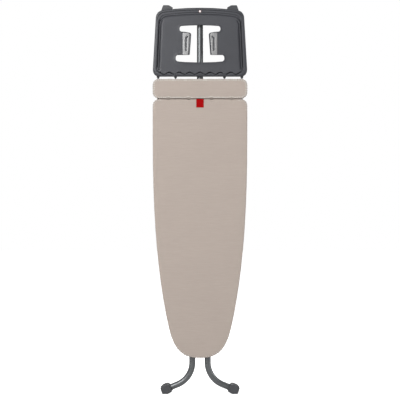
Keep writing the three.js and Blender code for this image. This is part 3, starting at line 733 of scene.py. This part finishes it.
# ---- Carrier wires and lever spring ----
def wires():
    for side, name in ((1, "right"), (-1, "left")):
        low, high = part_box(f"carrier_wire_{name}")
        x0, x1 = (low.x, high.x) if side > 0 else (-high.x, -low.x)
        r, y = 3 * MM, (low.y + high.y) / 2
        bend = (x1 - x0) / 2 - r
        middle, bottom = (x0 + x1) / 2, low.z + r + bend
        path = [(x0 + r, y, z) for z in np.linspace(high.z, bottom + 1 * MM, 40)]
        path += arc((middle, bottom), bend, 180, 360, 36, y)
        path += [(x1 - r, y, z) for z in np.linspace(bottom + 1 * MM, high.z, 40)]
        part = sweep(path, r, 18)
        piece(f"wire_{name}", *(part if side > 0 else mirrored(part)), graphite, "iron_rest",
              "graphite_paint", [f"carrier_wire_{name}"])
    low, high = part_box("lever_spring")
    y, z = (low.y + high.y) / 2, (low.z + high.z) / 2
    turns = np.linspace(0, 3 * 2 * math.pi, 110)
    xs = np.linspace(low.x + 0.8 * MM, high.x - 0.8 * MM, 110)
    path = [(x, y + 4.6 * MM * math.cos(a), z + 4.6 * MM * math.sin(a)) for x, a in zip(xs, turns)]
    piece("spring_coil", *sweep(path, 0.7 * MM, 12), bright, "height_lever", "bright_steel",
          ["lever_spring"])


wires()


# ---- Iron rest tray ----
tray_low, tray_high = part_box("iron_tray")
tray_top, tray_bottom, tray_front, tray_back = tray_high.z, tray_low.z, tray_low.y, tray_high.y
floor_y = tray_front + 3.5 * MM


def panel_outline():
    """Where the tray's raised edge meets its floor: waved along the bottom, arched at the top."""
    period = 41 * MM
    xs = np.linspace(0, 163 * MM, 160)
    wave = [(x, tray_bottom + 10.8 * MM + 4.6 * MM * math.cos(2 * math.pi * x / period)) for x in xs]
    side = [(x * MM, tray_top - below * MM) for x, below in ((167.8, 258), (167.6, 231), (160, 55))]
    arch = []
    for a in np.linspace(0, 1, 12):
        angle = a * math.pi / 2
        arch.append((124 * MM + 34.5 * MM * math.cos(angle),
                     tray_top - 66 * MM + 30 * MM * math.sin(angle)))
    top = [(x, tray_top - 29 * MM - 7 * MM * (x / (124 * MM)) ** 2)
           for x in np.linspace(118 * MM, 0, 20)]
    right = np.array(wave + side + arch + top)
    left = right[1:-1][::-1] * np.array((-1, 1))
    return np.vstack([right, left])


def cast(centre, towards, loop):
    """Where the rays from centre through each point of towards meet the closed loop."""
    a, b = loop, np.roll(loop, -1, axis=0)
    out = []
    for p in towards:
        d = p - centre
        e = b - a
        w = a - centre
        cross = d[0] * e[:, 1] - d[1] * e[:, 0]
        with np.errstate(divide="ignore", invalid="ignore"):
            t = (w[:, 0] * e[:, 1] - w[:, 1] * e[:, 0]) / cross
            s = (w[:, 0] * d[1] - w[:, 1] * d[0]) / cross
        ok = (t > 0) & (s >= -1e-9) & (s <= 1 + 1e-9) & np.isfinite(t)
        out.append(centre + d * t[ok].max())
    return np.array(out)


def window_outline():
    """The opening round the rear leg, with an arm to each side at its top and bottom."""
    def down(below):
        return tray_top / MM - below
    right = [(0, down(219), 0), (60, down(217.5), 0), (98, down(214), 11), (96.5, down(189.5), 9),
             (41, down(189), 4), (34.5, down(101), 9), (60, down(96.5), 0), (82, down(95), 9),
             (81, down(73.5), 9), (45, down(71.2), 0), (0, down(70), 0)]
    left = [(-x, z, r) for x, z, r in right[1:-1]][::-1]
    return rounded(right + left, 9)


# Sections through the raised edge: the share of the way from its outline to the floor's line,
# and the depth behind the tray's front in millimetres.
side_profile = [
    (0, 4.6), (.02, 3.0), (.06, 2.0), (.13, 1.2), (.2, .7), (.35, .2), (.5, 0), (.62, .1),
    (.68, .6), (.7, 3.0), (.73, 9.0), (.76, 10.5), (.9, 10.5), (.93, 9.0), (.97, 2.4), (1, 1.2)]
bottom_profile = [
    (0, 4.6), (.03, 3.0), (.09, 2.0), (.18, 1.4), (.24, 1.3), (.27, 2.8), (.31, 2.8), (.34, .9),
    (.5, .1), (.66, -.1), (.84, .1), (.9, .8), (.94, 5.0), (.97, 9.0), (1, 10.5)]
top_profile = [
    (0, 4.6), (.02, 3.0), (.05, 1.8), (.1, .9), (.15, .5), (.29, .2), (.315, 3.2), (.35, 3.2),
    (.375, .3), (.4, .2), (.62, .2), (.645, 3.4), (.685, 3.4), (.71, .5), (.75, .4), (.86, .6),
    (.9, 1.8), (.94, 4.8), (1, 3.4)]
# The ridge inside it: the distance from the floor's line, and the depths at the sides, bottom and top.
ridge = [
    (0.8, 1.0, 11.0, 3.2), (1.6, 0.9, 11.0, 3.2), (2.4, 1.2, 10.0, 3.2), (2.8, 2.0, 6.0, 3.3),
    (3.2, 4.0, 3.5, 3.5), (3.9, 6.2, 3.5, 3.5), (4.6, 6.2, 3.5, 3.5), (5.2, 3.5, 3.5, 3.5)]
# The window's rolled lip: the distance from the opening, and the depth.
window_lip = [(4.2, 3.5), (3.4, 3.2), (2.4, 2.6), (1.4, 2.5), (.6, 2.9), (.1, 3.9), (0, 5.5), (0, 8.0)]


def tray():
    outline, total = front_outline("iron_tray", 1200, 1.2 * MM)
    centre = np.array((0, (tray_top + tray_bottom) / 2 - 20 * MM))
    panel = cast(centre, outline, resampled(panel_outline(), 4000)[0])
    count = len(outline)
    top = smoothstep(tray_top - 62 * MM, tray_top - 42 * MM, panel[:, 1])
    bottom = 1 - smoothstep(tray_bottom + 19 * MM, tray_bottom + 34 * MM, panel[:, 1])
    sides = 1 - top - bottom
    rows = [at_depth(outline, tray_back)]
    for t in (0.25, 0.5, 0.75):
        rows.append(at_depth(outline, tray_back + (tray_front + 4 * MM - tray_back) * t))
    knots = [at for profile in (side_profile, bottom_profile, top_profile) for at, _ in profile]
    steps = np.unique(np.round(np.concatenate([np.linspace(0, 1, 11), knots]), 3))
    for f in steps:
        depth = np.zeros(count)
        for weight, profile in ((sides, side_profile), (bottom, bottom_profile), (top, top_profile)):
            at, deep = np.array(profile).T
            depth += weight * np.interp(f, at, deep)
        flat = outline + (panel - outline) * f
        rows.append(at_depth(flat, tray_front + depth * MM))
    into = inward(eased(panel, total, 0.6 * MM))
    for d, side_deep, bottom_deep, top_deep in ridge:
        deep = sides * side_deep + bottom * bottom_deep + top * top_deep
        rows.append(at_depth(panel + into * d * MM, tray_front + deep * MM))
    ring = rows[-1][:, [0, 2]]

    window, _ = resampled(window_outline(), 560)
    out = -inward(window)
    lips = []
    for d, deep in window_lip:
        lips.append(at_depth(window + out * d * MM, tray_front + deep * MM))
    outer_lip = lips[0][:, [0, 2]]
    grid, faces = fill([ring, outer_lip], 7 * MM)
    base = (len(rows) - 1) * count
    lip_start = len(rows) * count
    grid_start = lip_start + len(lips) * len(window)
    floor = relinked(faces, (base, count), (lip_start, len(window)), grid_start)
    points = np.vstack(rows + lips + [at_depth(grid, floor_y)])
    quads = strip_faces(len(rows), count) + flipped(strip_faces(len(lips), len(window), lip_start))
    made = piece("tray_shell", points, flipped(quads) + floor, tray_look, "iron_rest",
                 "tray_plastic", ["iron_tray"], face_front=True)
    modifier(made, "SOLIDIFY", thickness=2.2 * MM, offset=-1)

    ribs = []
    wire_xs = [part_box("carrier_wire_right")[k].x - s * 3 * MM for k, s in ((0, -1), (1, 1))]
    for x in [s * abs(w) for w in wire_xs for s in (-1, 1)]:
        ribs.append(box_part((x - 6.5 * MM, x + 6.5 * MM), (floor_y + 1.8 * MM, tray_back - 1 * MM),
                             (tray_bottom + 1.5 * MM, tray_bottom + 36 * MM)))
    for x in (-134, -108, 108, 134):
        ribs.append(box_part(((x - 0.9) * MM, (x + 0.9) * MM), (floor_y + 1.8 * MM, tray_back - 5 * MM),
                             (tray_bottom + 80 * MM, tray_top - 34 * MM)))
    for z in (36, 48, 220, 238):
        ribs.append(box_part((-158 * MM, 158 * MM), (floor_y + 1.8 * MM, tray_back - 6 * MM),
                             (tray_bottom + (z - 0.9) * MM, tray_bottom + (z + 0.9) * MM)))
    back = piece("tray_ribs", *merged(ribs), tray_look, "iron_rest", "tray_plastic")
    softened(back, 0.6 * MM)


tray()


def heat_plates():
    """Bent steel plates with a long slot, the inner edge rolled down towards the window."""
    for side, name in ((1, "right"), (-1, "left")):
        low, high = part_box(f"heat_plate_{name}")
        top, bottom = high.z / MM, low.z / MM
        outline = rounded([(47, bottom, 2), (69, bottom, 1.5), (69.5, top, 1.5), (46, top - 0.5, 3),
                           (41, top - 6, 4), (42, top - 30, 10)], 5)
        slot = rounded([(53, bottom + 15, 2), (58.5, bottom + 15, 2), (58.5, top - 20, 2.5),
                        (49, top - 12, 2), (45.5, top - 16, 2), (53, top - 24, 4)], 5)
        outline, _ = resampled(outline, 260)
        slot, _ = resampled(slot, 160)
        into, away = inward(outline), -inward(slot)
        rows = [at_depth(outline + into * in_from * MM, low.y + depth * MM)
                for in_from, depth in ((0, 0.9), (0.15, 0.45), (0.5, 0.1), (1, 0))]
        hole = [at_depth(slot + away * out_from * MM, low.y + depth * MM)
                for out_from, depth in ((0, 1.6), (0.1, 0.6), (0.5, 0.1), (1, 0))]
        grid, faces = fill([rows[-1][:, [0, 2]], hole[-1][:, [0, 2]]], 2.5 * MM)
        count, holes = len(outline), len(slot)
        hole_start = len(rows) * count
        grid_start = hole_start + len(hole) * holes
        face = relinked(faces, (3 * count, count), (hole_start + 3 * holes, holes), grid_start)
        crown = low.y + 0.25 * MM * ((grid[:, 0] - 55 * MM) / (14 * MM)) ** 2
        points = np.vstack(rows + hole + [at_depth(grid, np.minimum(crown, low.y + 0.3 * MM))])
        quads = flipped(strip_faces(len(rows), count)) + strip_faces(len(hole), holes, hole_start)
        part = ([tuple(p) for p in points], quads + face)
        made = piece(f"hot_plate_{name}", *(part if side > 0 else mirrored(part)), bright, "iron_rest",
                     "bright_steel", [f"heat_plate_{name}"], face_front=True)
        modifier(made, "SOLIDIFY", thickness=0.7 * MM, offset=-1)


heat_plates()


def stud():
    low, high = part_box("tray_badge")
    centre = ((low.x + high.x) / 2, low.y, (low.z + high.z) / 2)
    dome = [(0.2, -.3), (1.6, -.27), (2.9, -.12), (3.6, .15), (3.9, .5), (3.9, 1.2)]
    part = turned([(r * MM, a * MM) for r, a in dome], centre, (0, 1, 0))
    piece("stud_dome", *part, stud_look, "iron_rest", "badge_plastic", ["tray_badge"])
    ring = [(4.0, .6), (4.2, .25), (4.7, .1), (5.2, .2), (5.6, .6), (5.6, 1.4)]
    part = turned([(r * MM, a * MM) for r, a in ring], centre, (0, 1, 0))
    piece("stud_ring", *part, ring_look, "iron_rest", "badge_plastic")


stud()


# ---- Rod collars between the tray and the end cover ----
def rod_collars():
    low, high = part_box("carrier_wire_right")
    y = (low.y + high.y) / 2
    parts = []
    for x in (low.x + 3 * MM, high.x - 3 * MM, -low.x - 3 * MM, -high.x + 3 * MM):
        profile = [(3.3, -6.2), (4.6, -5.8), (5.2, -4), (6.0, -1), (6.2, 0.8), (6.0, 1.2)]
        parts.append(turned([(r * MM, a * MM) for r, a in profile], (x, y, tray_bottom), (0, 0, 1), 28))
    piece("rod_collars", *merged(parts), black, "iron_rest", "black_plastic")


rod_collars()


# ---- CAD pieces that keep their shape ----
caps = [f"{leg}_foot_cap_{side}" for leg in ("front", "rear") for side in ("left", "right")]
kept = {
    graphite: ["board_rim", "cross_member_1", "cross_member_2", "cross_member_3",
               "rail_left", "rail_right"],
    zinc: ["slide_bar", "rear_axle", "pivot_bolt", "pivot_nut",
           "lever_bar", "lever_arm", "lever_pin"],
    deck_steel: ["panel_end"],
    foot_look: caps,
}
edge = {"board_rim": 0.4, "panel_end": 0.2, **{cap: 0.9 for cap in caps}}
named = {name: look for look, names in kept.items() for name in names}
for name, node in nodes.items():
    if node.hide_render:
        continue
    look = named.get(name, black)
    node.data.materials.clear()
    node.data.materials.append(look)
    node.data.polygons.foreach_set("use_smooth", [True] * len(node.data.polygons))
    bpy.context.view_layer.objects.active = node
    if node.data.has_custom_normals:
        bpy.ops.mesh.customdata_custom_splitnormals_clear()
    modifier(node, "WELD", merge_threshold=0.01 * MM)
    softened(node, edge.get(name, 0.5) * MM, 3, 24)


# ---- Stage ----
def ground():
    points = [(x, y, -0.0004) for y in (-14, 14) for x in (-14, 14)]
    mesh = bpy.data.meshes.new("ground")
    mesh.from_pydata(points, [], [(0, 1, 3, 2)])
    made = bpy.data.objects.new("ground", mesh)
    bpy.context.scene.collection.objects.link(made)
    look = Look("pale_floor", (0.85, 0.85, 0.85), 0.9, **{
        "Emission Color": (1, 1, 1, 1), "Specular IOR Level": 0.1})
    look.tint(look.noise((3, 3, 3), 2), 0.3, 0.7, 0.99, 1.0)
    seen = look.add("ShaderNodeLightPath").outputs["Is Camera Ray"]
    look.set(look.shader, {"Emission Strength": look.math("MULTIPLY", seen, 0.9)})
    mesh.materials.append(look.material)


def area_light(name, place, size, power, target, color=(1, 1, 1)):
    data = bpy.data.lights.new(name, "AREA")
    data.shape, data.energy, data.color = "RECTANGLE", power, color
    data.size, data.size_y = size
    made = bpy.data.objects.new(name, data)
    made.location = place
    made.rotation_euler = (Vector(target) - Vector(place)).to_track_quat("-Z", "Y").to_euler()
    bpy.context.scene.collection.objects.link(made)


ground()
world = bpy.data.worlds.new("studio")
world.use_nodes = True
tree = world.node_tree
background = tree.nodes["Background"]
background.inputs["Color"].default_value = (1, 1, 1, 1)
path = tree.nodes.new("ShaderNodeLightPath")
level = tree.nodes.new("ShaderNodeMapRange")
level.inputs["To Max"].default_value = 1.0
# Light comes from the front and less from behind, so round tubes keep dark edges.
toward = tree.nodes.new("ShaderNodeVectorMath")
toward.operation = "DOT_PRODUCT"
toward.inputs[1].default_value = (0.45, 0.89, 0.0)
tree.links.new(tree.nodes.new("ShaderNodeTexCoord").outputs["Generated"], toward.inputs[0])
around = tree.nodes.new("ShaderNodeMapRange")
for name, value in (("From Min", -1.0), ("From Max", 0.8), ("To Min", 0.5), ("To Max", 0.14)):
    around.inputs[name].default_value = value
tree.links.new(toward.outputs["Value"], around.inputs["Value"])
tree.links.new(around.outputs["Result"], level.inputs["To Min"])
tree.links.new(path.outputs["Is Camera Ray"], level.inputs["Value"])
tree.links.new(level.outputs["Result"], background.inputs["Strength"])
bpy.context.scene.world = world
area_light("key", (-1.5, -2.6, 2.2), (2.2, 2.2), 97, (0, 0, 0.9))
area_light("strip", (2.2, -0.7, 0.95), (0.12, 2.3), 18, (0, 0, 0.7))
area_light("back", (0.3, 2.4, 2.2), (1.6, 1.6), 30, (0, 0, 0.9))

camera_data = bpy.data.cameras.new("camera")
camera_data.lens, camera_data.sensor_width = 112.5, 36
camera = bpy.data.objects.new("camera", camera_data)
camera.location = (0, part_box("cover_main")[0].y - 5.0, 0.777)
camera.rotation_euler = (math.pi / 2, 0, 0)
camera_data.clip_end = 60
bpy.context.scene.collection.objects.link(camera)
bpy.context.scene.camera = camera
bpy.context.scene.view_settings.view_transform = "Standard"
